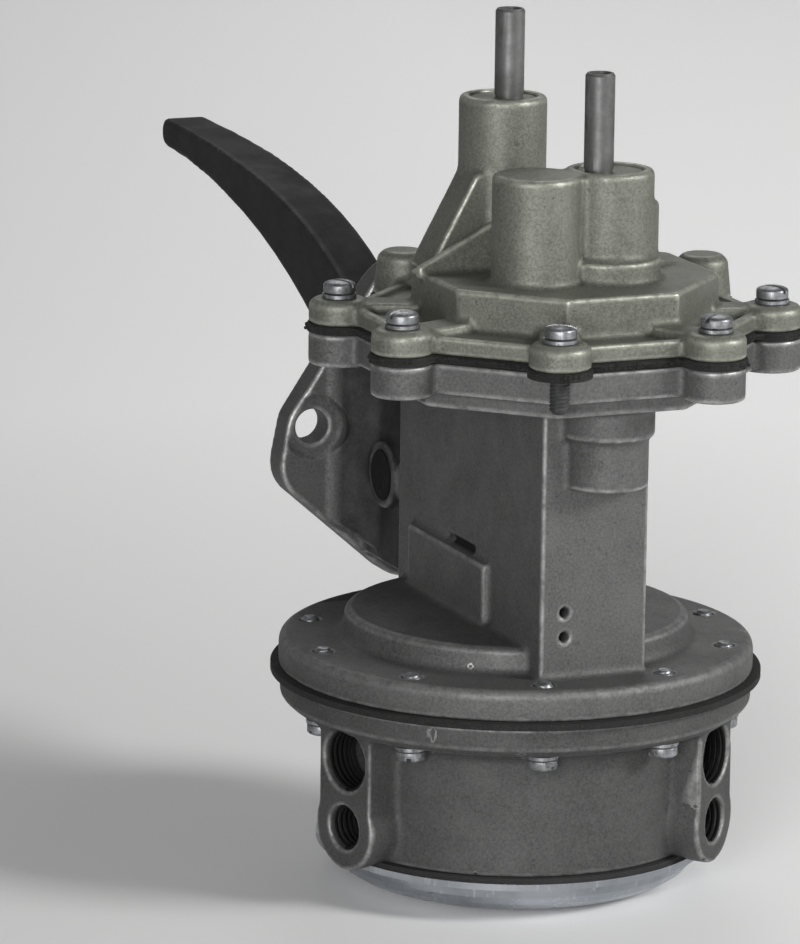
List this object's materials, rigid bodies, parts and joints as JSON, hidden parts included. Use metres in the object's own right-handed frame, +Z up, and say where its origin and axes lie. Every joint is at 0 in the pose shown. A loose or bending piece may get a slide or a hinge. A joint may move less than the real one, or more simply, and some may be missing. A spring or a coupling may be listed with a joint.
{
  "type": "mechanical fuel pump",
  "caption": "Double-action mechanical fuel pump with a rocker arm, a fuel diaphragm section below and a vacuum booster section with two tubes above.",
  "frame": {"origin": "centre of the flat foot of the pulsator cap, on the fuel diaphragm's axis", "axes": "+Z up along the diaphragm axes, +Y toward the engine along the rocker arm, +X across the arm"},
  "size_m": [0.12, 0.3126, 0.2145],
  "materials": {
    "lower_casting": "as-cast",
    "cover_casting": "as-cast",
    "zinc": "zinc plated",
    "dark_steel": "black oxide",
    "brass": "satin",
    "rubber": "matt",
    "cloth": "rubberised"
  },
  "bodies": {
    "housing": {"rocker_housing": "lower_casting", "valve_housing": "lower_casting", "pulsator_cap": "zinc", "cap_screw": "zinc", "pulsator_diaphragm": "rubber", "fuel_inlet_valve_seat": "brass", "fuel_outlet_valve_seat": "brass", "fuel_inlet_valve_spring": "zinc", "fuel_outlet_valve_spring": "zinc", "fuel_diaphragm": "cloth", "fuel_spring": "zinc", "fuel_oil_seal": "rubber", "fuel_seal_retainer": "zinc", "housing_screws": "zinc", "housing_lock_washers": "zinc", "arm_pivot_pin": "zinc", "pin_plugs": "zinc", "arm_spring": "zinc", "vacuum_oil_seal": "rubber", "vacuum_seal_retainer": "zinc", "vacuum_diaphragm": "cloth", "vacuum_spring": "zinc", "vacuum_cover": "cover_casting", "vacuum_inlet_valve_seat": "brass", "vacuum_outlet_valve_seat": "brass", "vacuum_inlet_valve_spring": "zinc", "vacuum_outlet_valve_spring": "zinc", "vacuum_inlet_plug": "cover_casting", "vacuum_outlet_plug": "cover_casting", "vacuum_inlet_tube": "dark_steel", "vacuum_outlet_tube": "dark_steel", "cover_screws": "zinc", "cover_rear_screws": "zinc", "cover_lock_washers": "zinc", "rear_lock_washers": "zinc"},
    "arm": {"rocker_arm": "dark_steel", "arm_bushing": "brass", "pivot_spacers": "dark_steel"},
    "fuel_link_body": {"fuel_link": "dark_steel"},
    "vacuum_link_body": {"vacuum_link": "dark_steel"},
    "fuel_rod": {"fuel_pull_rod": "dark_steel", "fuel_lower_plate": "zinc", "fuel_upper_plate": "zinc"},
    "vacuum_rod": {"vacuum_push_rod": "dark_steel", "vacuum_lower_plate": "zinc", "vacuum_upper_plate": "zinc"},
    "fuel_inlet_disc": {"fuel_inlet_valve_disc": "rubber"},
    "fuel_outlet_disc": {"fuel_outlet_valve_disc": "rubber"},
    "vacuum_inlet_disc": {"vacuum_inlet_valve_disc": "rubber"},
    "vacuum_outlet_disc": {"vacuum_outlet_valve_disc": "rubber"}
  },
  "joints": [
    {"name": "arm_swing", "type": "hinge", "parent": "housing", "child": "arm", "pos_m": [0, 0.052, 0.09], "axis": [-1, 0, 0], "range_deg": [0, 4], "stiffness_Nm_per_rad": 20, "springref_deg": -6.88, "deforming": ["arm_spring"]},
    {"name": "fuel_link_swing", "type": "hinge", "parent": "housing", "child": "fuel_link_body", "pos_m": [0, 0.052, 0.09], "axis": [-1, 0, 0], "range_deg": [0, 4.05]},
    {"name": "vacuum_link_swing", "type": "hinge", "parent": "housing", "child": "vacuum_link_body", "pos_m": [0, 0.052, 0.09], "axis": [-1, 0, 0], "range_deg": [0, 4.05]},
    {"name": "fuel_rod_slide", "type": "slide", "parent": "housing", "child": "fuel_rod", "axis": [0, 0, 1], "range_m": [0, 0.00366], "deforming": ["fuel_spring", "fuel_diaphragm"]},
    {"name": "vacuum_rod_slide", "type": "slide", "parent": "housing", "child": "vacuum_rod", "axis": [0, 0, 1], "range_m": [0, 0.00508], "deforming": ["vacuum_spring", "vacuum_diaphragm"]},
    {"name": "fuel_inlet_valve_lift", "type": "slide", "parent": "housing", "child": "fuel_inlet_disc", "axis": [0, 0, 1], "range_m": [0, 0.0015], "stiffness_N_per_m": 20, "springref_m": -0.0015, "deforming": ["fuel_inlet_valve_spring"]},
    {"name": "fuel_outlet_valve_lift", "type": "slide", "parent": "housing", "child": "fuel_outlet_disc", "axis": [0, 0, -1], "range_m": [0, 0.0015], "stiffness_N_per_m": 20, "springref_m": -0.0015, "deforming": ["fuel_outlet_valve_spring"]},
    {"name": "vacuum_inlet_valve_lift", "type": "slide", "parent": "housing", "child": "vacuum_inlet_disc", "axis": [0, 0, -1], "range_m": [0, 0.0015], "stiffness_N_per_m": 20, "springref_m": -0.0015, "deforming": ["vacuum_inlet_valve_spring"]},
    {"name": "vacuum_outlet_valve_lift", "type": "slide", "parent": "housing", "child": "vacuum_outlet_disc", "axis": [0, 0, 1], "range_m": [0, 0.0015], "stiffness_N_per_m": 20, "springref_m": -0.0015, "deforming": ["vacuum_outlet_valve_spring"]}
  ],
  "couplings": [
    {"joint": "fuel_link_swing", "follows": "arm_swing", "ratio": 1},
    {"joint": "vacuum_link_swing", "follows": "arm_swing", "ratio": 1},
    {"joint": "fuel_rod_slide", "follows": "arm_swing", "m_per_rad": 0.052},
    {"joint": "vacuum_rod_slide", "follows": "arm_swing", "m_per_rad": 0.0723}
  ]
}
